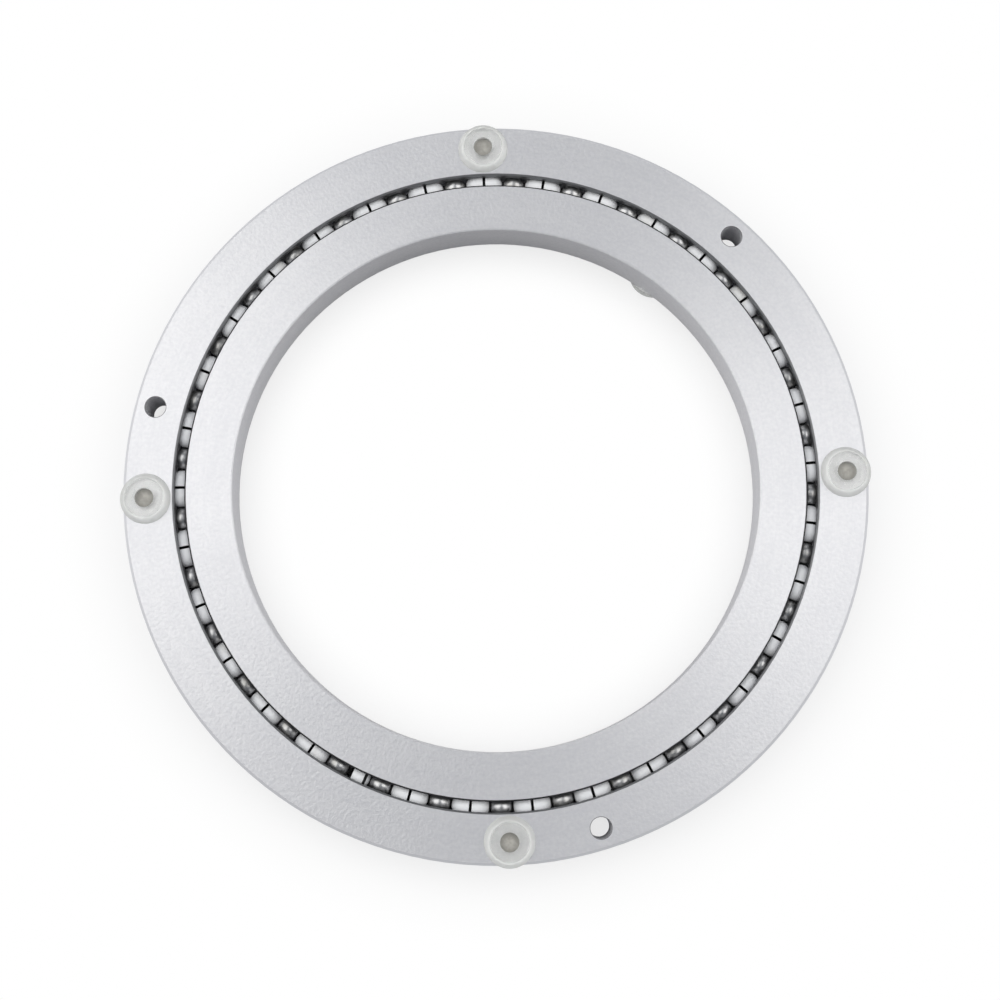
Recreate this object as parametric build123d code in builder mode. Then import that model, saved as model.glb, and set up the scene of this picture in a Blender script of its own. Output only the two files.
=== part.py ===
"""Ring bearing for a turntable: two aluminium rings with balls and spacers running between them."""

import os
from math import atan2, cos, degrees, pi, radians, sin

from build123d import *

# Rings, from the bore outwards
BORE_DIAMETER = 85.0
INNER_RING_WIDTH = 7.65
SLOT_WIDTH = 1.7
OUTER_RING_WIDTH = 8.15
RING_THICKNESS = 8.5

# Broken edges of the rings
BORE_CHAMFER = 0.2
SLOT_CHAMFER = 0.3
RIM_CHAMFER = 0.5

# Balls and spacers in the race, whose middle lies at a depth below the upper face
RACE_DEPTH = 3.1
BALL_DIAMETER = 3.5
RACE_CLEARANCE = 0.12
SPACER_DIAMETER = 3.4
SPACER_LENGTH = 2.9
SPACER_EDGE = 0.1
BALL_TO_SPACER_GAP = 0.09
PAIR_GAP = 0.3
FIRST_BALL_ANGLE = 249.0

# Countersunk screw holes through the outer ring
SCREW_COUNT = 3
SCREW_ANGLE = 46.9
SCREW_INSET = 3.4
SCREW_HOLE_DIAMETER = 3.4
SCREW_HEAD_DIAMETER = 5.5
SCREW_HEAD_ANGLE = 90.0

# Push-in feet, on top of the outer ring and under the inner ring, where the first is set nearer the bore
FOOT_COUNT = 4
OUTER_FOOT_ANGLE = 2.2
OUTER_FOOT_INSET = 3.65
INNER_FOOT_ANGLE = 54.6
INNER_FOOT_INSET = 4.15
NEAR_FOOT_SHIFT = 0.85
FOOT_HEIGHT = 1.3
FOOT_BASE_DIAMETER = 8.2
FOOT_TOP_DIAMETER = 6.5
FOOT_ROUND = 0.35
DIMPLE_DIAMETER = 3.0
DIMPLE_DEPTH = 0.8
STEM_DIAMETER = 2.6
STEM_LENGTH = 2.5
STEM_CLEARANCE = 0.05
STEM_END_GAP = 0.2

# Plug that closes the hole the balls are loaded through
PLUG_ANGLE = 227.2
PLUG_RECESS = 0.2
PLUG_CLEARANCE = 0.04
LOADING_CLEARANCE = 0.2

# Radii and heights that follow from the sizes above, with the floor under the inner feet at zero
bore_radius = BORE_DIAMETER / 2
inner_ring_radius = bore_radius + INNER_RING_WIDTH
race_radius = inner_ring_radius + SLOT_WIDTH / 2
slot_outer_radius = inner_ring_radius + SLOT_WIDTH
rim_radius = slot_outer_radius + OUTER_RING_WIDTH
ring_bottom = FOOT_HEIGHT
ring_top = ring_bottom + RING_THICKNESS
ring_middle = ring_bottom + RING_THICKNESS / 2
race_height = ring_top - RACE_DEPTH
groove_radius = BALL_DIAMETER / 2 + RACE_CLEARANCE
screw_circle_radius = rim_radius - SCREW_INSET
outer_foot_radius = rim_radius - OUTER_FOOT_INSET
inner_foot_radius = bore_radius + INNER_FOOT_INSET
stem_hole_radius = STEM_DIAMETER / 2 + STEM_CLEARANCE
stem_hole_depth = STEM_LENGTH + STEM_END_GAP
loading_hole_radius = BALL_DIAMETER / 2 + LOADING_CLEARANCE
foot_taper = degrees(atan2((FOOT_BASE_DIAMETER - FOOT_TOP_DIAMETER) / 2, FOOT_HEIGHT))

# A set is one ball and a pair of spacers: the race takes as many sets as leave room for a last ball
set_length = BALL_DIAMETER + 2 * BALL_TO_SPACER_GAP + 2 * SPACER_LENGTH + PAIR_GAP
last_length = BALL_DIAMETER + 2 * BALL_TO_SPACER_GAP + SPACER_LENGTH
set_count = int((2 * pi * race_radius - last_length) // set_length)
set_angle = degrees(set_length / race_radius)
ball_angles = [FIRST_BALL_ANGLE + number * set_angle for number in range(set_count + 1)]

# Angle from the middle of a ball to the middle of a spacer whose dome faces it
dome_step = degrees((BALL_DIAMETER / 2 + BALL_TO_SPACER_GAP + SPACER_LENGTH / 2) / race_radius)

top_face = Plane.XY.offset(ring_top)
bottom_face = Plane(origin=(0, 0, ring_bottom), x_dir=(1, 0, 0), z_dir=(0, 0, -1))


def race_plane(angle, direction=1):
    """Plane across the race at an angle, facing along the race the way that direction says."""
    turn = radians(angle)
    centre = (race_radius * cos(turn), race_radius * sin(turn), race_height)
    along = (-direction * sin(turn), direction * cos(turn), 0)
    return Plane(origin=centre, x_dir=(0, 0, 1), z_dir=along)


def foot_seat(face, radius, angle):
    """Plane on a ring's face where a foot stands, at an angle seen from above."""
    turn = radians(angle)
    centre = (radius * cos(turn), radius * sin(turn), face.origin.Z)
    return Plane(origin=centre, x_dir=(1, 0, 0), z_dir=face.z_dir)


foot_turns = [number * 360 / FOOT_COUNT for number in range(FOOT_COUNT)]
outer_seats = [foot_seat(top_face, outer_foot_radius, OUTER_FOOT_ANGLE + turn) for turn in foot_turns]
inner_seats = [foot_seat(bottom_face, inner_foot_radius, INNER_FOOT_ANGLE + turn) for turn in foot_turns]
inner_seats[0] = foot_seat(bottom_face, inner_foot_radius - NEAR_FOOT_SHIFT, INNER_FOOT_ANGLE)

os.makedirs("parts", exist_ok=True)

# Inner ring: half of the ball groove in its outer wall, and stem holes in its underside
with BuildSketch(Plane.XZ) as inner_section:
    with Locations((bore_radius + INNER_RING_WIDTH / 2, ring_middle)):
        Rectangle(INNER_RING_WIDTH, RING_THICKNESS)
    chamfer(inner_section.vertices().group_by(Axis.X)[0], BORE_CHAMFER)
    chamfer(inner_section.vertices().group_by(Axis.X)[-1], SLOT_CHAMFER)
    with Locations((race_radius, race_height)):
        Circle(groove_radius, mode=Mode.SUBTRACT)

with BuildPart() as inner_ring:
    revolve(inner_section.sketch, axis=Axis.Z)
    with Locations(*inner_seats):
        Hole(stem_hole_radius, depth=stem_hole_depth)
inner_ring.part.label = "inner_ring"
export_step(inner_ring.part, "parts/inner_ring.step")

# Outer ring: the other half of the groove, stem holes on top, screw holes and the loading hole
with BuildSketch(Plane.XZ) as outer_section:
    with Locations((slot_outer_radius + OUTER_RING_WIDTH / 2, ring_middle)):
        Rectangle(OUTER_RING_WIDTH, RING_THICKNESS)
    chamfer(outer_section.vertices().group_by(Axis.X)[0], SLOT_CHAMFER)
    chamfer(outer_section.vertices().group_by(Axis.X)[-1], RIM_CHAMFER)
    with Locations((race_radius, race_height)):
        Circle(groove_radius, mode=Mode.SUBTRACT)

plug_turn = radians(PLUG_ANGLE)
outward = Vector(cos(plug_turn), sin(plug_turn), 0)
loading_mouth = Plane(origin=outward * rim_radius + Vector(0, 0, race_height), z_dir=outward)

with BuildPart() as outer_ring:
    revolve(outer_section.sketch, axis=Axis.Z)
    with Locations(*outer_seats):
        Hole(stem_hole_radius, depth=stem_hole_depth)
    with Locations(bottom_face):
        with PolarLocations(screw_circle_radius, SCREW_COUNT, start_angle=-SCREW_ANGLE):
            CounterSinkHole(
                radius=SCREW_HOLE_DIAMETER / 2,
                counter_sink_radius=SCREW_HEAD_DIAMETER / 2,
                counter_sink_angle=SCREW_HEAD_ANGLE,
            )
    with Locations(loading_mouth):
        Hole(loading_hole_radius, depth=rim_radius - race_radius)
outer_ring.part.label = "outer_ring"
export_step(outer_ring.part, "parts/outer_ring.step")

# Loading plug: its inner end carries the groove on across the hole
with BuildPart() as loading_plug:
    with BuildSketch(loading_mouth.offset(-PLUG_RECESS)):
        Circle(loading_hole_radius - PLUG_CLEARANCE)
    extrude(amount=race_radius + PLUG_RECESS - rim_radius)
    revolve(outer_section.sketch, axis=Axis.Z, mode=Mode.INTERSECT)
loading_plug.part.label = "loading_plug"
export_step(loading_plug.part, "parts/loading_plug.step")

# Feet: a tapered pad with a dimple in its top and a stem in the ring
for row_name, seats in {"outer_foot": outer_seats, "inner_foot": inner_seats}.items():
    for number, seat in enumerate(seats, start=1):
        with BuildPart() as foot:
            with BuildSketch(seat):
                Circle(FOOT_BASE_DIAMETER / 2)
            extrude(amount=FOOT_HEIGHT, taper=foot_taper)
            tread = foot.faces().filter_by(Axis.Z).sort_by(SortBy.AREA)[0]
            fillet(tread.edges(), FOOT_ROUND)
            with BuildSketch(seat.offset(FOOT_HEIGHT)):
                Circle(DIMPLE_DIAMETER / 2)
            extrude(amount=-DIMPLE_DEPTH, mode=Mode.SUBTRACT)
            with BuildSketch(seat):
                Circle(STEM_DIAMETER / 2)
            extrude(amount=-STEM_LENGTH)
        foot.part.label = f"{row_name}_{number}"
        export_step(foot.part, f"parts/{row_name}_{number}.step")

# Balls
for number, angle in enumerate(ball_angles, start=1):
    with BuildPart() as ball:
        with Locations(race_plane(angle)):
            Sphere(BALL_DIAMETER / 2)
    ball.part.label = f"ball_{number:02d}"
    export_step(ball.part, f"parts/ball_{number:02d}.step")

# Spacer: a bullet with a flat end and a domed end, its axis along the race and its middle at the origin
with BuildPart() as spacer:
    with BuildSketch(Plane.XZ) as spacer_section:
        with BuildLine():
            flat_edge = (SPACER_DIAMETER / 2, -SPACER_LENGTH / 2)
            shoulder = (SPACER_DIAMETER / 2, (SPACER_LENGTH - SPACER_DIAMETER) / 2)
            tip = (0, SPACER_LENGTH / 2)
            Polyline((0, SPACER_LENGTH / 2), (0, -SPACER_LENGTH / 2), flat_edge, shoulder)
            RadiusArc(shoulder, tip, -SPACER_DIAMETER / 2)
        make_face()
        chamfer(spacer_section.vertices().sort_by(Axis.Y)[:2].sort_by(Axis.X)[-1], SPACER_EDGE)
    revolve(axis=Axis.Z)

# Spacers stand in pairs, flat to flat, with their domes against the balls, and one stands alone at the end
spacer_planes = [race_plane(angle + dome_step, -1) for angle in ball_angles[:-1]]
spacer_planes += [race_plane(angle - dome_step) for angle in ball_angles]
with BuildPart() as spacers:
    with Locations(*spacer_planes):
        add(spacer.part)
spacers.part.label = "spacers"
export_step(spacers.part, "parts/spacers.step")
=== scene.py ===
"""Dresses the ring bearing: finishes for its rings, feet, balls and spacers, and a plain studio."""

import logging
from dataclasses import dataclass
from enum import Enum
from math import cos, pi, radians, sin
from typing import Any, Union

import bmesh
import bpy
from mathutils import Matrix, Vector


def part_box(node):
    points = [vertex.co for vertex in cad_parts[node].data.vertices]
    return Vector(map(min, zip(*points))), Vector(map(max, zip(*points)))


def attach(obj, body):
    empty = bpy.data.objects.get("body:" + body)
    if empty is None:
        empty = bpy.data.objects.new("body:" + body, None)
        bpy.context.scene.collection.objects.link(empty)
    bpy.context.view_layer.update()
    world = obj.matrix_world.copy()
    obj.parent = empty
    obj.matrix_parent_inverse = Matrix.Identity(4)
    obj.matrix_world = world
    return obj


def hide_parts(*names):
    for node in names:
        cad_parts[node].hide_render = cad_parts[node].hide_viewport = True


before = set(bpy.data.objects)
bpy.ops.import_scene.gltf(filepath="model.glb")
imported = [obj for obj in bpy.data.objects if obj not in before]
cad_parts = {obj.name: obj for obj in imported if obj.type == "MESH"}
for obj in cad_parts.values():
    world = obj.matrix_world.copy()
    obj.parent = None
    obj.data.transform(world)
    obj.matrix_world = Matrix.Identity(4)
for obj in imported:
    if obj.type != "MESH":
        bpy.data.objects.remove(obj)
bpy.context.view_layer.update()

MM = 0.001
FULL_TURN = 2 * pi

# Layers of a fine noise, and the middle of the values that a noise gives
FINE_DETAIL = 3.0
NOISE_MIDDLE = 0.5

Socket = bpy.types.NodeSocket
Triple = tuple[float, float, float]
Colour = Triple
Span = tuple[float, float]
Number = Union["Scalar", float]
WHITE: Colour = (1.0, 1.0, 1.0)
log = logging.getLogger("bearing")


class Body(Enum):
    """The bodies that turn against each other and carry new pieces."""

    BASE = "base"
    TURNTABLE = "turntable"


class Slot(Enum):
    """A material slot of the record, which no piece here takes."""

    FOOT = "foot_plastic"


class Face(Enum):
    """The way that a foot's tread faces."""

    UP = "up"
    DOWN = "down"


class Scalar:
    """A socket that carries one number, with operators that add Math nodes."""

    def __init__(self, shader: "Shader", socket: Socket) -> None:
        """Wraps a socket of a shader."""
        self.shader = shader
        self.socket = socket

    def math(self, operation: str, *operands: Number) -> "Scalar":
        """Adds a Math node.

        Args:
            operation: The node's operation.
            operands: Numbers or wrapped sockets for its inputs, in order.

        Returns:
            The node's result.
        """
        return self.shader.scalar("Math", {"operation": operation}, dict(enumerate(operands)))

    def __add__(self, other: Number) -> "Scalar":
        """This plus the other."""
        return self.math("ADD", self, other)

    def __radd__(self, other: float) -> "Scalar":
        """The other plus this."""
        return self.math("ADD", other, self)

    def __sub__(self, other: Number) -> "Scalar":
        """This minus the other."""
        return self.math("SUBTRACT", self, other)

    def __rsub__(self, other: float) -> "Scalar":
        """The other minus this."""
        return self.math("SUBTRACT", other, self)

    def __mul__(self, other: Number) -> "Scalar":
        """This times the other."""
        return self.math("MULTIPLY", self, other)

    def __rmul__(self, other: float) -> "Scalar":
        """The other times this."""
        return self.math("MULTIPLY", other, self)

    def __truediv__(self, other: Number) -> "Scalar":
        """This divided by the other."""
        return self.math("DIVIDE", self, other)

    def __rtruediv__(self, other: float) -> "Scalar":
        """The other divided by this."""
        return self.math("DIVIDE", other, self)

    def __pow__(self, other: Number) -> "Scalar":
        """This to the power of the other."""
        return self.math("POWER", self, other)

    def __rpow__(self, other: float) -> "Scalar":
        """The other to the power of this."""
        return self.math("POWER", other, self)

    def larger(self, other: Number) -> "Scalar":
        """The larger of this and the other."""
        return self.math("MAXIMUM", self, other)

    def cosine(self) -> "Scalar":
        """The cosine of this angle."""
        return self.math("COSINE", self)

    def wrap(self, length: float) -> "Scalar":
        """What is left of this, which is above zero, after whole lengths."""
        return self.math("MODULO", self, length)

    def fold(self, length: float) -> "Scalar":
        """This, running back and forth between zero and a length."""
        return self.math("PINGPONG", self, length)

    def rise(self, low: float, high: float) -> "Scalar":
        """A soft step.

        Args:
            low: Where the step starts, at 0.
            high: Where it ends, at 1.

        Returns:
            The step, which falls instead where low is above high.
        """
        settings = {"interpolation_type": "SMOOTHSTEP", "clamp": True}
        if low <= high:
            ends = {"Value": self, "From Min": low, "From Max": high}
        else:
            ends = {"Value": self, "From Min": high, "From Max": low, "To Min": 1.0, "To Max": 0.0}
        return self.shader.scalar("MapRange", settings, ends)

    def band(self, low: float, high: float, soft: float) -> "Scalar":
        """A soft band.

        Args:
            low: The band's lower edge.
            high: Its upper edge.
            soft: The width of each edge's step.

        Returns:
            1 inside the band and 0 outside it.
        """
        return self.rise(low - soft, low) * self.rise(high + soft, high)


class Shader:
    """The node tree of a material or of the world, and the ways in which nodes are added to it."""

    def __init__(self, tree: bpy.types.NodeTree) -> None:
        """Takes a tree over and empties it."""
        self.tree = tree
        tree.nodes.clear()

    @classmethod
    def material(cls, name: str) -> tuple["Shader", bpy.types.Material]:
        """Makes a material with an empty tree.

        Args:
            name: The material's name.

        Returns:
            The tree's shader and the material.
        """
        made = bpy.data.materials.new(name)
        made.use_nodes = True
        return cls(made.node_tree), made

    def node(self, kind: str, settings: dict[str, Any], sockets: dict[Any, Any]) -> bpy.types.Node:
        """Adds a node.

        Args:
            kind: The node's type after ShaderNode.
            settings: Its properties, set before its sockets.
            sockets: Values or links for its inputs, by name or number.

        Returns:
            The node.
        """
        made = self.tree.nodes.new("ShaderNode" + kind)
        for name, setting in settings.items():
            setattr(made, name, setting)
        for key, value in sockets.items():
            source = value.socket if isinstance(value, Scalar) else value
            if isinstance(source, Socket):
                self.tree.links.new(source, made.inputs[key])
            else:
                made.inputs[key].default_value = source
        return made

    def scalar(self, kind: str, settings: dict[str, Any], sockets: dict[Any, Any], output: Any = 0) -> Scalar:
        """Adds a node and wraps one of its outputs.

        Args:
            kind: The node's type after ShaderNode.
            settings: Its properties.
            sockets: Values or links for its inputs.
            output: The output's name or number.

        Returns:
            The wrapped output.
        """
        return Scalar(self, self.node(kind, settings, sockets).outputs[output])

    def blend(self, factor: Number, low: Any, high: Any) -> Socket:
        """Mixes two colours.

        Args:
            factor: 0 for the first colour and 1 for the second.
            low: The first colour, or its socket.
            high: The second colour, or its socket.

        Returns:
            The mixed colour's socket.
        """
        ends = [(*end, 1.0) if isinstance(end, tuple) else end for end in (low, high)]
        mixed = self.node("Mix", {"data_type": "RGBA"}, {0: factor, 6: ends[0], 7: ends[1]})
        return mixed.outputs[2]

    def place(self) -> Socket:
        """The Object coordinates."""
        return self.node("TexCoord", {}, {}).outputs["Object"]

    def layer(self, name: str) -> Scalar:
        """A number that the mesh keeps on its vertices."""
        return self.scalar("Attribute", {"attribute_name": name}, {}, "Fac")

    def parts(self, vector: Socket) -> tuple[Scalar, Scalar, Scalar]:
        """Splits a vector.

        Args:
            vector: The vector's socket.

        Returns:
            Its parts along the three axes.
        """
        x, y, z = (Scalar(self, output) for output in self.node("SeparateXYZ", {}, {0: vector}).outputs)
        return x, y, z

    def polar(self) -> tuple[Scalar, Scalar, Scalar]:
        """Finds where a point lies round the bearing's axis.

        Returns:
            The distance from the axis, the turn from +X, and the height.
        """
        x, y, z = self.parts(self.place())
        return (x * x + y * y) ** 0.5, y.math("ARCTAN2", y, x), z

    def noise(self, vector: Socket, scale: float, detail: float = 2.0) -> Scalar:
        """Adds a Noise texture.

        Args:
            vector: Where the noise is read.
            scale: Its number of cells to a unit of the vector.
            detail: Its number of finer layers.

        Returns:
            The noise, from 0 to 1.
        """
        return self.scalar("TexNoise", {}, {"Vector": vector, "Scale": scale, "Detail": detail})

    def bump(self, height: Scalar, distance: float, normal: Any = None) -> Socket:
        """Adds a Bump node.

        Args:
            height: The relief, from 0 to 1.
            distance: The depth of the relief.
            normal: The normal of a coarser bump, if there is one.

        Returns:
            The normal's socket.
        """
        sockets = {"Height": height, "Distance": distance}
        if normal is not None:
            sockets["Normal"] = normal
        return self.node("Bump", {}, sockets).outputs[0]

    def principled(self, sockets: dict[str, Any]) -> Socket:
        """A Principled surface with the given sockets."""
        return self.node("BsdfPrincipled", {}, sockets).outputs[0]

    def mixed(self, share: Number, low: Socket, high: Socket) -> Socket:
        """Mixes two surfaces.

        Args:
            share: 0 for the first surface and 1 for the second.
            low: The first surface's socket.
            high: The second surface's socket.

        Returns:
            The mixed surface's socket.
        """
        return self.node("MixShader", {}, {0: share, 1: low, 2: high}).outputs[0]

    def end(self, surface: Socket) -> None:
        """Ends a material's tree in a surface."""
        self.node("OutputMaterial", {}, {"Surface": surface})


@dataclass(frozen=True)
class TurnedAluminium:
    """Satin aluminium, turned round the bearing's axis and lightly blasted, with a glossier race, and shade
    painted into the race, onto the rim and round the screw holes.
    """

    colour: Colour = (0.825, 0.823, 0.84)
    worn_colour: Colour = (0.755, 0.755, 0.78)
    # painted shade: the rim's chamfer and outer wall are painted darker, which dims their highlight
    rim_shade_colour: Colour = (0.67, 0.675, 0.70)
    # painted shade: a thin dark line round the mouth of each screw hole
    hole_shade_colour: Colour = (0.16, 0.16, 0.17)
    # painted shade: the race's walls and slot edges are painted near black, and lighter towards the outer
    # ring, where more light falls
    race_shade_colour: Colour = (0.07, 0.07, 0.075)
    outer_race_shade_colour: Colour = (0.24, 0.245, 0.255)
    roughness: float = 0.54
    line_roughness: float = 0.03
    cloud_roughness: float = 0.05
    race_polish: float = 0.06
    anisotropy: float = 0.52
    anisotropy_turn: float = 0.25
    mark_pitch: float = 0.32 * MM
    mark_depth: float = 0.0015 * MM
    mark_slant: float = 0.6
    mark_stretch: float = 4.0 * MM
    broad_scale: float = 375.0
    cloud_scale: float = 45.0
    grain_size: float = 0.55 * MM
    grain_depth: float = 0.055 * MM
    grain_share: float = 0.4
    cloud_share: float = 0.3
    line_share: float = 0.15
    worn_span: Span = (0.35, 0.65)
    rim_inside: float = 59.52 * MM
    rim_fade: float = 0.08 * MM
    rim_smoothing: float = 0.6
    hole_circle: float = 56.6 * MM
    hole_turn: float = radians(46.9)
    hole_step: float = radians(120.0)
    hole_radius: float = 1.7 * MM
    hole_edge: float = 0.06 * MM
    hole_edge_depth: float = 0.18 * MM
    hole_edge_fade: float = 0.05 * MM
    upper_face: float = 9.8 * MM
    race_inside: float = 49.84 * MM
    race_outside: float = 52.16 * MM
    race_edge_fade: float = 0.05 * MM
    race_middle: Span = (50.6 * MM, 51.4 * MM)
    race_bottom: float = 1.38 * MM
    race_top: float = 9.72 * MM
    race_fade: float = 0.06 * MM

    def marks(self, shader: Shader) -> Socket:
        """Finds where a point lies on the turning marks.

        Args:
            shader: The material's shader.

        Returns:
            A vector that runs across the marks along its first axis and round the ring along the other two.
        """
        x, y, z = shader.parts(shader.place())
        radius = (x * x + y * y) ** 0.5
        round_ring = [self.mark_stretch * side / radius for side in (x, y)]
        across = radius + self.mark_slant * z
        return shader.node("CombineXYZ", {}, dict(enumerate([across, *round_ring]))).outputs[0]

    def hole_edge_shade(self, shader: Shader) -> Scalar:
        """Finds the upper edges of the screw holes, where a thin line of shade is painted.

        Args:
            shader: The material's shader.

        Returns:
            1 at the edges and 0 elsewhere.
        """
        radius, turn, height = shader.polar()
        off = (turn - self.hole_turn + 2 * FULL_TURN).fold(self.hole_step / 2)
        squares = radius * radius + self.hole_circle ** 2
        distance = (squares - 2 * self.hole_circle * radius * off.cosine()) ** 0.5
        near = distance.band(0.0, self.hole_radius + self.hole_edge, self.hole_edge_fade)
        return near * height.rise(self.upper_face - self.hole_edge_depth, self.upper_face - self.hole_edge)

    def material(self) -> bpy.types.Material:
        """Makes the material of the rings and their plug.

        Returns:
            The material.
        """
        shader, made = Shader.material("turned_aluminium")
        radius, _, height = shader.polar()
        place, marks = shader.place(), self.marks(shader)
        lines = shader.noise(marks, 1 / self.mark_pitch, FINE_DETAIL)
        broad = shader.noise(marks, self.broad_scale)
        grain = shader.noise(place, 1 / self.grain_size, FINE_DETAIL)
        cloud = shader.noise(place, self.cloud_scale, FINE_DETAIL)
        wall = height.band(self.race_bottom, self.race_top, self.race_fade)
        race = wall * radius.band(self.race_inside, self.race_outside, self.race_edge_fade)
        tone = self.cloud_share * cloud + self.grain_share * grain + self.line_share * (lines + broad)
        turned = shader.blend(tone.rise(*self.worn_span), self.colour, self.worn_colour)
        rim = radius.rise(self.rim_inside, self.rim_inside + self.rim_fade)
        # painted shade on the rim
        rim_shaded = shader.blend(rim, turned, self.rim_shade_colour)
        # painted shade round the screw holes
        face = shader.blend(self.hole_edge_shade(shader), rim_shaded, self.hole_shade_colour)
        # painted shade in the race, lighter towards the outer ring
        painted_race_shade = shader.blend(radius.rise(*self.race_middle), self.race_shade_colour, self.outer_race_shade_colour)
        blasted = shader.bump(grain * (1 - self.rim_smoothing * rim), self.grain_depth)
        uneven = self.line_roughness * (lines - NOISE_MIDDLE)
        uneven += self.cloud_roughness * (cloud - NOISE_MIDDLE)
        shader.end(shader.principled({
            "Base Color": shader.blend(race, face, painted_race_shade),
            "Metallic": 1.0,
            "Roughness": self.roughness + uneven - self.race_polish * race,
            "Anisotropic": self.anisotropy,
            "Anisotropic Rotation": self.anisotropy_turn,
            "Normal": shader.bump(lines, self.mark_depth, blasted),
        }))
        return made


@dataclass(frozen=True)
class ClearVinyl:
    """Clear soft plastic, slightly green, which turns milky on its skirt, with grey shade painted in its
    dimple.

    The feet keep two layers for it: the skirt's runs from 0 to 1, and the hollow's from 0 on the tread
    to 1 at the edge of the dimple's floor and 2 in its middle.
    """

    colour: Colour = (0.985, 0.99, 0.975)
    cloudy_colour: Colour = (0.945, 0.965, 0.935)
    milky_colour: Colour = (0.89, 0.90, 0.88)
    # painted shade: the dimple is painted grey, darker at its wall and the edge of its floor, with random
    # darker mottling
    dimple_shade_colour: Colour = (0.52, 0.50, 0.46)
    dimple_edge_shade_colour: Colour = (0.34, 0.33, 0.30)
    mottled_colour: Colour = (0.275, 0.265, 0.24)
    roughness: float = 0.06
    cloud_roughness: float = 0.1
    milky_roughness: float = 0.5
    milky_specular: float = 0.2
    transmission: float = 0.86
    refraction: float = 1.42
    skirt_share: float = 0.5
    hollow_share: float = 0.8
    mottle_share: float = 0.6
    cloud_scale: float = 700.0
    cloud_span: Span = (0.3, 0.7)
    mottle_scale: float = 1300.0
    mottle_span: Span = (0.35, 0.65)
    skin_scale: float = 5200.0
    skin_depth: float = 0.004 * MM
    skirt_layer: str = "skirt"
    hollow_layer: str = "hollow"
    wall_span: Span = (0.0, 1.0)
    floor_span: Span = (1.0, 2.0)

    def material(self) -> bpy.types.Material:
        """Makes the material of the feet, which reads from each foot where its dimple and its skirt are.

        Returns:
            The material.
        """
        shader, made = Shader.material("clear_vinyl")
        place = shader.place()
        cloud = shader.noise(place, self.cloud_scale)
        mottle = shader.noise(place, self.mottle_scale, FINE_DETAIL)
        relief = shader.bump(shader.noise(place, self.skin_scale), self.skin_depth)
        skirt, hollow = shader.layer(self.skirt_layer), shader.layer(self.hollow_layer)
        in_dimple = hollow.rise(*self.wall_span)
        # painted shade in the dimple, darker towards its wall
        floor = shader.blend(hollow.rise(*self.floor_span), self.dimple_edge_shade_colour, self.dimple_shade_colour)
        mottled = self.mottle_share * mottle.rise(*self.mottle_span)
        dimple = shader.blend(mottled, floor, self.mottled_colour)
        clear = shader.principled({
            "Base Color": shader.blend(cloud.rise(*self.cloud_span), self.colour, self.cloudy_colour),
            "Roughness": self.roughness + self.cloud_roughness * (cloud - NOISE_MIDDLE),
            "IOR": self.refraction,
            "Transmission Weight": self.transmission,
            "Normal": relief,
        })
        milky = shader.principled({
            "Base Color": shader.blend(in_dimple, self.milky_colour, dimple),
            "Roughness": self.milky_roughness,
            "Specular IOR Level": self.milky_specular,
            "Normal": relief,
        })
        share = self.skirt_share * skirt + self.hollow_share * in_dimple
        shader.end(shader.mixed(share, clear, milky))
        return made


@dataclass(frozen=True)
class BallSteel:
    """Polished bearing steel under a thin film of oil."""

    colour: Colour = (0.56, 0.56, 0.565)
    oily_colour: Colour = (0.43, 0.425, 0.41)
    roughness: float = 0.33
    oily_roughness: float = 0.1
    film_scale: float = 420.0
    film_span: Span = (0.42, 0.68)
    film_roughness_span: Span = (0.4, 0.8)
    lapping_scale: float = 4200.0
    lapping_depth: float = 0.0006 * MM

    def material(self) -> bpy.types.Material:
        """Makes the material of the balls.

        Returns:
            The material.
        """
        shader, made = Shader.material("ball_steel")
        place = shader.place()
        film = shader.noise(place, self.film_scale, FINE_DETAIL)
        lapping = shader.noise(place, self.lapping_scale)
        shader.end(shader.principled({
            "Base Color": shader.blend(film.rise(*self.film_span), self.colour, self.oily_colour),
            "Metallic": 1.0,
            "Roughness": self.roughness + self.oily_roughness * film.rise(*self.film_roughness_span),
            "Normal": shader.bump(lapping, self.lapping_depth),
        }))
        return made


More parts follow.
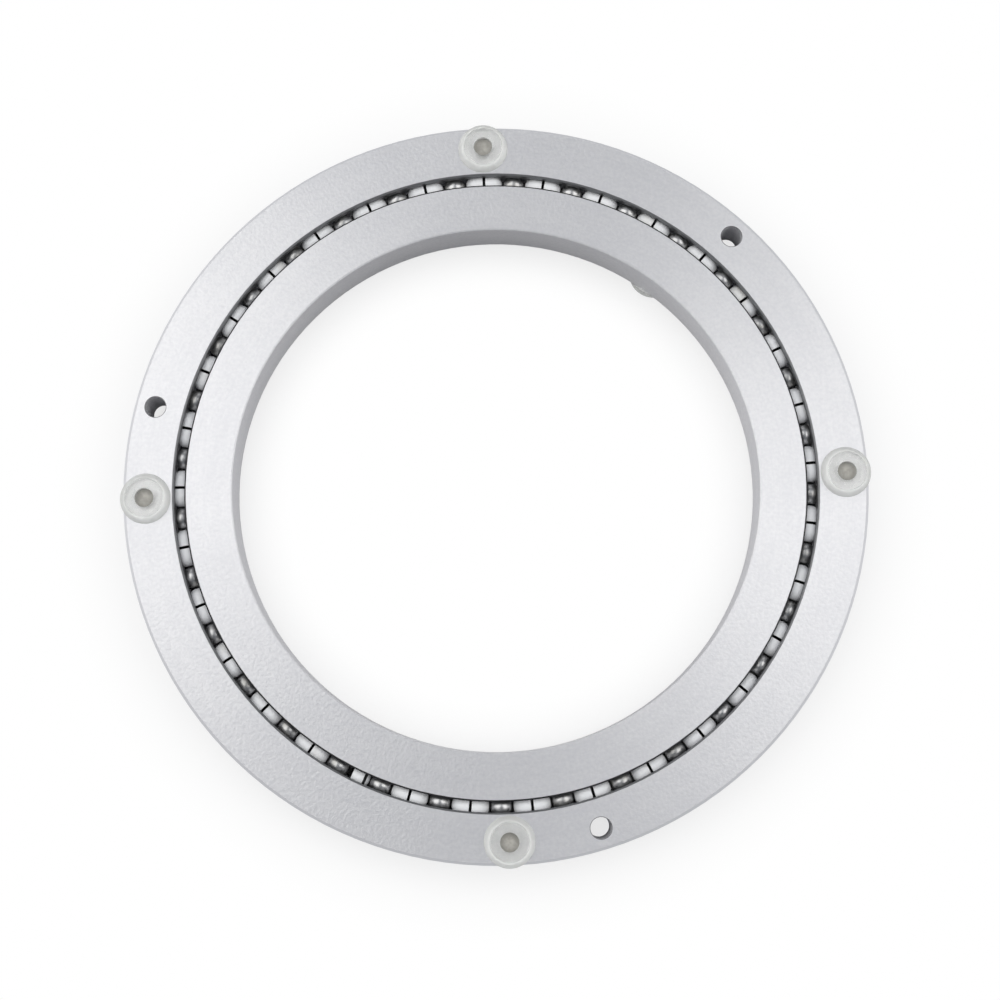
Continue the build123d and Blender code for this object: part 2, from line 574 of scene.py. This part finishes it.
@dataclass(frozen=True)
class MouldedNylon:
    """White moulded plastic, with a little of the race's oil on it, and painted shade at its ends."""

    colour: Colour = (0.87, 0.88, 0.90)
    oily_colour: Colour = (0.77, 0.76, 0.73)
    # painted shade: the spacers' flat ends and domed tips are painted near black
    end_shade_colour: Colour = (0.02, 0.02, 0.02)
    roughness: float = 0.45
    skin_roughness: float = 0.12
    joint_roughness: float = 0.5
    specular: float = 0.2
    oil_scale: float = 200.0
    oil_detail: float = 4.0
    oil_span: Span = (0.55, 0.85)
    skin_scale: float = 3600.0
    skin_depth: float = 0.006 * MM
    race_radius: float = 51.0 * MM
    first_ball: float = radians(249.0)
    set_length: float = 9.78 * MM
    joint_reach: float = 0.25 * MM
    joint_fade: float = 0.06 * MM
    tip_reach: float = 2.05 * MM
    tip_fade: float = 0.2 * MM

    def joint(self, shader: Shader) -> Scalar:
        """Finds the ends of the spacers, at a ball and halfway between two balls, where shade is painted.

        Args:
            shader: The material's shader.

        Returns:
            1 at the ends and 0 along the spacers.
        """
        _, turn, _ = shader.polar()
        along = (turn - self.first_ball + 2 * FULL_TURN).wrap(FULL_TURN) * self.race_radius
        from_ball = along.fold(self.set_length / 2)
        flat = self.set_length / 2 - self.joint_reach
        flat_end = from_ball.rise(flat, flat + self.joint_fade)
        return flat_end.larger(from_ball.rise(self.tip_reach, self.tip_reach - self.tip_fade))

    def material(self) -> bpy.types.Material:
        """Makes the material of the spacers.

        Returns:
            The material.
        """
        shader, made = Shader.material("moulded_nylon")
        place = shader.place()
        oil = shader.noise(place, self.oil_scale, self.oil_detail)
        skin = shader.noise(place, self.skin_scale, FINE_DETAIL)
        white = shader.blend(oil.rise(*self.oil_span), self.colour, self.oily_colour)
        # painted shade at the spacers' ends
        joint = self.joint(shader)
        uneven = self.skin_roughness * (skin - NOISE_MIDDLE) + self.joint_roughness * joint
        shader.end(shader.principled({
            "Base Color": shader.blend(joint, white, self.end_shade_colour),
            "Roughness": self.roughness + uneven,
            "Specular IOR Level": self.specular,
            "Normal": shader.bump(skin, self.skin_depth),
        }))
        return made


@dataclass
class RingPair:
    """The two turned rings and the plug of the loading hole, as the CAD gives them."""

    finish: TurnedAluminium
    nodes: tuple[str, ...] = ("inner_ring", "outer_ring", "loading_plug")

    def dress(self) -> None:
        """Gives the rings and the plug their finish."""
        aluminium = self.finish.material()
        for name in self.nodes:
            dress_node(name, aluminium)


@dataclass
class BallTrain:
    """The balls and spacers in the race, as the CAD gives them."""

    ball_finish: BallSteel
    spacer_finish: MouldedNylon
    ball_prefix: str = "ball_"
    spacers: str = "spacers"

    def dress(self) -> None:
        """Gives the balls and the spacers their finishes."""
        steel = self.ball_finish.material()
        for name in sorted(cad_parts):
            if name.startswith(self.ball_prefix):
                dress_node(name, steel)
        dress_node(self.spacers, self.spacer_finish.material())


@dataclass
class FootRow:
    """The soft feet pressed into one ring: tapered pads with a dimple in the tread and a stem."""

    row: str
    body: Body
    face: Face
    finish: bpy.types.Material
    skirt_layer: str = ClearVinyl.skirt_layer
    hollow_layer: str = ClearVinyl.hollow_layer
    count: int = 4
    base_radius: float = 4.1 * MM
    base_round: float = 0.07 * MM
    tread_radius: float = 3.25 * MM
    tread_round: float = 0.42 * MM
    height: float = 1.3 * MM
    dimple_radius: float = 1.5 * MM
    dimple_depth: float = 0.8 * MM
    dimple_draft: float = 0.03 * MM
    dimple_round: float = 0.06 * MM
    lip_round: float = 0.08 * MM
    stem_radius: float = 1.3 * MM
    stem_length: float = 2.5 * MM
    stem_round: float = 0.2 * MM
    sink: float = 0.02 * MM
    steps: int = 72
    round_steps: int = 4
    merge_reach: float = 0.001 * MM
    find_reach: float = 0.005 * MM
    wall_share: float = 1 / 3.5
    skirt_fade: float = 0.25 * MM

    def corners(self) -> list[tuple[float, float, float]]:
        """Lists the corners of a foot's half section, from the dimple's middle to the stem's end.

        Returns:
            Each corner's radius, height and rounding, which is zero at a sharp one.
        """
        floor = self.height - self.dimple_depth
        return [
            (0.0, floor, 0.0),
            (self.dimple_radius, floor, self.dimple_round),
            (self.dimple_radius + self.dimple_draft, self.height, self.lip_round),
            (self.tread_radius, self.height, self.tread_round),
            (self.base_radius, -self.sink, self.base_round),
            (self.stem_radius, -self.sink, 0.0),
            (self.stem_radius, -self.stem_length, self.stem_round),
            (0.0, -self.stem_length, 0.0),
        ]

    def turned(self) -> bmesh.types.BMesh:
        """Spins the half section and rounds its edges.

        Returns:
            The foot, standing on the origin with its tread up.
        """
        mesh = bmesh.new()
        verts = [mesh.verts.new((radius, 0.0, height)) for radius, height, _ in self.corners()]
        lines = [mesh.edges.new(pair) for pair in zip(verts, verts[1:])]
        bmesh.ops.spin(
            mesh, geom=verts + lines, cent=(0, 0, 0), axis=(0, 0, 1), dvec=(0, 0, 0),
            angle=FULL_TURN, steps=self.steps, use_merge=True,
        )
        bmesh.ops.remove_doubles(mesh, verts=mesh.verts, dist=self.merge_reach)
        bmesh.ops.recalc_face_normals(mesh, faces=mesh.faces)
        for radius, height, rounding in self.corners():
            if rounding:
                bmesh.ops.bevel(
                    mesh, geom=self.circle(mesh, radius, height), offset=rounding, offset_type="OFFSET",
                    segments=self.round_steps, profile=0.5, affect="EDGES", material=-1, clamp_overlap=True,
                )
        self.mark(mesh)
        return mesh

    def circle(self, mesh: bmesh.types.BMesh, radius: float, height: float) -> list[bmesh.types.BMEdge]:
        """Finds the edges that a corner of the half section was spun into.

        Args:
            mesh: The spun foot.
            radius: The corner's radius.
            height: The corner's height.

        Returns:
            The edges of its circle.
        """
        reach = self.find_reach
        on_circle = {
            vert for vert in mesh.verts
            if abs(vert.co.xy.length - radius) < reach and abs(vert.co.z - height) < reach
        }
        return [edge for edge in mesh.edges if on_circle.issuperset(edge.verts)]

    def mark(self, mesh: bmesh.types.BMesh) -> None:
        """Keeps on each vertex how far it is down the dimple, and how far out on the skirt.

        Args:
            mesh: The foot, standing on the origin.
        """
        mesh.verts.layers.float.new(self.hollow_layer)
        mesh.verts.layers.float.new(self.skirt_layer)
        hollow, skirt = (mesh.verts.layers.float[name] for name in (self.hollow_layer, self.skirt_layer))
        for vert in mesh.verts:
            radius, height = vert.co.xy.length, vert.co.z
            inside = height > 0 and radius < self.dimple_radius + self.dimple_draft
            depth = min(1.0, (self.height - height) / (self.wall_share * self.dimple_depth))
            vert[hollow] = depth + max(0.0, 1.0 - radius / self.dimple_radius) if inside else 0.0
            vert[skirt] = min(1.0, max(0.0, (radius - self.tread_radius) / self.skirt_fade + 1.0))

    def build(self) -> None:
        """Makes each foot where the CAD has it, and lets it stand for the CAD's solid."""
        for number in range(1, self.count + 1):
            node = f"{self.row}_{number}"
            low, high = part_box(node)
            seat = high.z - self.height if self.face is Face.UP else low.z + self.height
            mesh = self.turned()
            if self.face is Face.DOWN:
                bmesh.ops.rotate(mesh, verts=mesh.verts, cent=(0, 0, 0), matrix=Matrix.Rotation(pi, 3, "X"))
            middle = ((low.x + high.x) / 2, (low.y + high.y) / 2, seat)
            bmesh.ops.translate(mesh, verts=mesh.verts, vec=middle)
            foot = piece(f"vinyl_{node}", mesh, self.finish)
            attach(foot, self.body.value)
            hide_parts(node)
            log.info("%s: %d faces", foot.name, len(foot.data.polygons))


def piece(name: str, mesh: bmesh.types.BMesh, finish: bpy.types.Material) -> bpy.types.Object:
    """Makes a smooth-shaded object.

    Args:
        name: The object's name.
        mesh: Its shape, which is used up.
        finish: Its material.

    Returns:
        The object, at the origin.
    """
    for polygon in mesh.faces:
        polygon.smooth = True
    data = bpy.data.meshes.new(name)
    mesh.to_mesh(data)
    mesh.free()
    data.materials.append(finish)
    made = bpy.data.objects.new(name, data)
    bpy.context.scene.collection.objects.link(made)
    return made


def dress_node(name: str, finish: bpy.types.Material) -> None:
    """Puts a finish on every material slot of a CAD node.

    Args:
        name: The node's name.
        finish: The material.
    """
    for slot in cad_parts[name].material_slots:
        slot.material = finish
    log.info("%s: %s", name, finish.name)


@dataclass(frozen=True)
class SoftLight:
    """A square soft light that looks at the bearing."""

    name: str
    azimuth: float
    elevation: float
    distance: float
    size: float
    power: float
    colour: Colour = (1.0, 0.99, 0.96)

    def hang(self) -> None:
        """Puts the light in the scene."""
        turn, climb = radians(self.azimuth), radians(self.elevation)
        away = Vector((cos(climb) * cos(turn), cos(climb) * sin(turn), sin(climb)))
        data = bpy.data.lights.new(self.name, "AREA")
        data.shape = "SQUARE"
        data.size = self.size
        data.energy = self.power
        data.color = self.colour
        lamp = bpy.data.objects.new(self.name, data)
        lamp.location = away * self.distance
        lamp.rotation_euler = away.to_track_quat("Z", "Y").to_euler()
        bpy.context.scene.collection.objects.link(lamp)
        log.info("%s: %.1f W", self.name, self.power)


@dataclass(frozen=True)
class Camera:
    """The camera of the photograph: its place and what its axis meets, on the bearing's upper face."""

    place: Vector = Vector((0.742, -40.748, 277.182)) * MM
    aim: Vector = Vector((0.648, -2.396, 9.8)) * MM
    lens: float = 60.568
    sensor_width: float = 36.0
    nearest: float = 10.0 * MM

    def set_up(self) -> None:
        """Puts the camera in the scene, with +Y up in the picture."""
        back = (self.place - self.aim).normalized()
        right = Vector((0, 1, 0)).cross(back).normalized()
        turn = Matrix((right, back.cross(right), back)).transposed()
        data = bpy.data.cameras.new("camera")
        data.sensor_width = self.sensor_width
        data.lens = self.lens
        data.clip_start = self.nearest
        camera = bpy.data.objects.new("camera", data)
        camera.matrix_world = Matrix.Translation(self.place) @ turn.to_4x4()
        bpy.context.scene.collection.objects.link(camera)
        bpy.context.scene.camera = camera


@dataclass(frozen=True)
class Studio:
    """A white floor and sky with soft lights at both sides.

    The floor's spans are distances from the bearing's axis, over which a share rises from 0 to 1.
    """

    floor_size: float = 3.0
    floor_colour: Colour = (0.80, 0.80, 0.80)
    shadow_share: float = 0.25
    rim_shadow: Span = (60.0 * MM, 74.0 * MM)
    bore_shadow: Span = (42.0 * MM, 34.0 * MM)
    # painted shadow: the floor under the race is painted dark for camera rays
    under_race: Span = (46.0 * MM, 53.0 * MM)
    under_race_fade: float = 1.5 * MM
    through_share: float = 0.6
    through_rim: Span = (58.5 * MM, 60.5 * MM)
    # painted shade: metal mirrors a grey floor near the bearing
    mirrored_floor_shade: Colour = (0.30, 0.30, 0.305)
    mirrored_white: Span = (64.0 * MM, 110.0 * MM)
    in_bore: Span = (44.0 * MM, 42.0 * MM)
    # painted light and shade: the floor that metal mirrors in the bore is darker ahead and behind, and
    # lighter at the left and right sides
    bore_floor_shade: Colour = (0.265, 0.265, 0.27)
    bore_side_light: Colour = (0.52, 0.52, 0.525)
    bore_side_turn: float = radians(10.0)
    ambient_front: Colour = (0.54, 0.549, 0.567)
    ambient_back: Colour = (0.06, 0.061, 0.063)
    ceiling: Colour = (0.152, 0.163, 0.184)
    clear_ceiling: Colour = (0.36, 0.36, 0.36)
    ceiling_span: Span = (0.25, 0.6)
    overhead: Colour = (1.57, 1.6, 1.67)
    mirrored_overhead: Colour = (0.30, 0.32, 0.35)
    clear_overhead: Colour = (1.18, 1.18, 1.19)
    overhead_axis: Triple = (0.0, 0.38, 0.925)
    overhead_span: Span = (0.88, 0.98)
    lights: tuple[SoftLight, ...] = (
        SoftLight("left_softbox", azimuth=161.0, elevation=51.0, distance=0.8, size=0.85, power=3.65),
        SoftLight("right_softbox", azimuth=6.0, elevation=51.0, distance=0.8, size=0.65, power=2.35),
    )

    @staticmethod
    def seen(shader: Shader) -> tuple[Scalar, Scalar, Scalar]:
        """Tells the rays that show the background from those that light.

        Args:
            shader: The shader that the rays meet.

        Returns:
            1 for rays that show it straight, in metal, and through clear plastic.
        """
        path = shader.node("LightPath", {}, {})
        names = ("Is Camera Ray", "Is Glossy Ray", "Is Transmission Ray")
        straight, mirrored, through = (Scalar(shader, path.outputs[name]) for name in names)
        return straight, mirrored, through

    def lay_floor(self) -> None:
        """Makes the floor, white but for the bearing's soft shadow and a shadow painted dark under the race,
        and grey with painted shade where metal mirrors it, lighter with painted light at the bore's sides.
        """
        shader, made = Shader.material("studio_floor")
        distance, turn, _ = shader.polar()
        straight, mirrored, through = self.seen(shader)
        # painted shadow under the race: camera rays see a dark grey floor there and no white
        painted_race_shadow = distance.band(*self.under_race, self.under_race_fade)
        outside = distance.rise(*self.through_rim)
        shown_through = through * (self.through_share + (1 - self.through_share) * outside)
        unshaded = distance.rise(*self.rim_shadow).larger(distance.rise(*self.bore_shadow))
        brightness = 1 - self.shadow_share + self.shadow_share * unshaded
        shown = (straight * (1 - painted_race_shadow) + shown_through) * brightness
        white = shown + mirrored * distance.rise(*self.mirrored_white)
        # painted shade on the mirrored floor, with painted light at the bore's sides
        sideways = (turn - self.bore_side_turn).cosine()
        bore_light_and_shade = shader.blend(sideways * sideways, self.bore_floor_shade, self.bore_side_light)
        shaded_tone = shader.blend(distance.rise(*self.in_bore), self.mirrored_floor_shade, bore_light_and_shade)
        tone = shader.blend(mirrored.larger(straight * painted_race_shadow), self.floor_colour, shaded_tone)
        plain = shader.node("BsdfDiffuse", {}, {"Color": tone})
        glow = shader.node("Emission", {}, {"Color": (*WHITE, 1.0), "Strength": 1.0})
        shader.end(shader.mixed(white, plain.outputs[0], glow.outputs[0]))
        mesh = bmesh.new()
        bmesh.ops.create_grid(mesh, x_segments=1, y_segments=1, size=self.floor_size / 2)
        piece("floor", mesh, made)

    def light_sky(self) -> None:
        """Makes a sky that shows white sides and a grey ceiling, and lights from in front and overhead."""
        world = bpy.data.worlds.new("studio_sky")
        world.use_nodes = True
        bpy.context.scene.world = world
        shader = Shader(world.node_tree)
        direction = shader.node("TexCoord", {}, {}).outputs["Generated"]
        _, back, height = shader.parts(direction)
        straight, mirrored, through = self.seen(shader)
        ambient = shader.blend((1 + back) / 2, self.ambient_front, self.ambient_back)
        ceiling = shader.blend(through, self.ceiling, self.clear_ceiling)
        tent = shader.blend(height.rise(*self.ceiling_span), WHITE, ceiling)
        sides = shader.blend(straight.larger(mirrored).larger(through), ambient, tent)
        overhead = shader.blend(mirrored, self.overhead, self.mirrored_overhead)
        zenith = shader.blend(through, overhead, self.clear_overhead)
        ends = {0: direction, 1: self.overhead_axis}
        above = shader.scalar("VectorMath", {"operation": "DOT_PRODUCT"}, ends, "Value")
        colour = shader.blend(above.rise(*self.overhead_span), sides, zenith)
        sky = shader.node("Background", {}, {"Color": colour, "Strength": 1.0})
        shader.node("OutputWorld", {}, {"Surface": sky.outputs[0]})

    def set_up(self) -> None:
        """Lays the floor, lights the scene and sets the view transform."""
        self.lay_floor()
        self.light_sky()
        for light in self.lights:
            light.hang()
        bpy.context.scene.view_settings.view_transform = "Standard"


def main() -> None:
    """Dresses the bearing from the rings outwards, then sets up the studio and the camera."""
    logging.basicConfig(level=logging.INFO)
    RingPair(TurnedAluminium()).dress()
    BallTrain(BallSteel(), MouldedNylon()).dress()
    vinyl = ClearVinyl().material()
    FootRow("outer_foot", Body.TURNTABLE, Face.UP, vinyl).build()
    FootRow("inner_foot", Body.BASE, Face.DOWN, vinyl).build()
    Studio().set_up()
    Camera().set_up()


if __name__ == "__main__":
    main()
